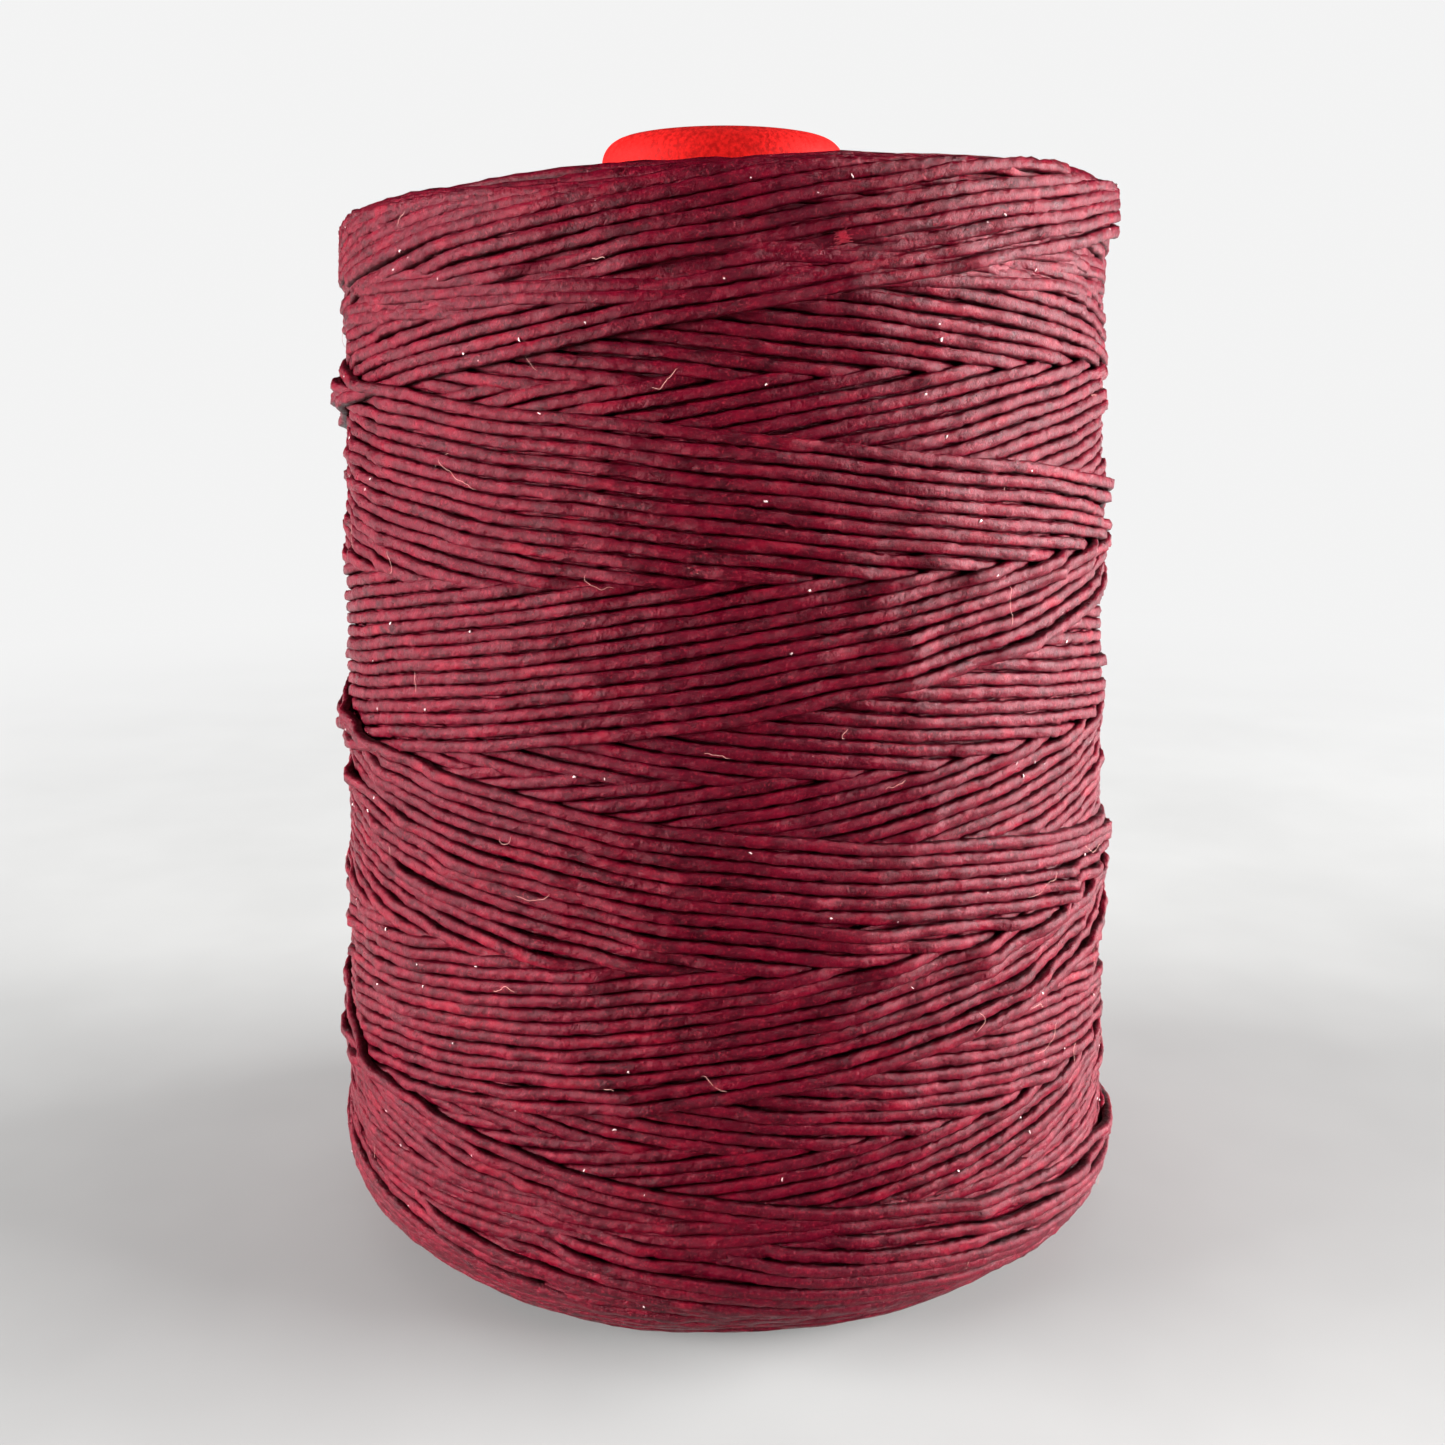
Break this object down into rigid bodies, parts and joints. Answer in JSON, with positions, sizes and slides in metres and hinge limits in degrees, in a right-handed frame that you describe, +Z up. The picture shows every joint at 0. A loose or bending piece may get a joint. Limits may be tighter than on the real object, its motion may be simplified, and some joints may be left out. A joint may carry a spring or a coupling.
{
  "type": "thread spool",
  "caption": "Waxed sewing thread cross-wound in a slightly tapered package on a moulded plastic core tube with a through bore; the thread unwinds as it is drawn off.",
  "frame": {"origin": "centre of the base, on the spool's axis, at the face it stands on", "axes": "+Z up along the bore axis; X and Y level, with the start slit of the lower lip at +Y"},
  "size_m": [0.0668, 0.0668, 0.089],
  "materials": {
    "core_plastic": "matte moulded, bright red",
    "waxed_thread": "waxed, satin, burgundy"
  },
  "bodies": {
    "root": {"core_tube": "core_plastic", "start_wraps": "waxed_thread", "thread_package": "waxed_thread"}
  },
  "joints": []
}
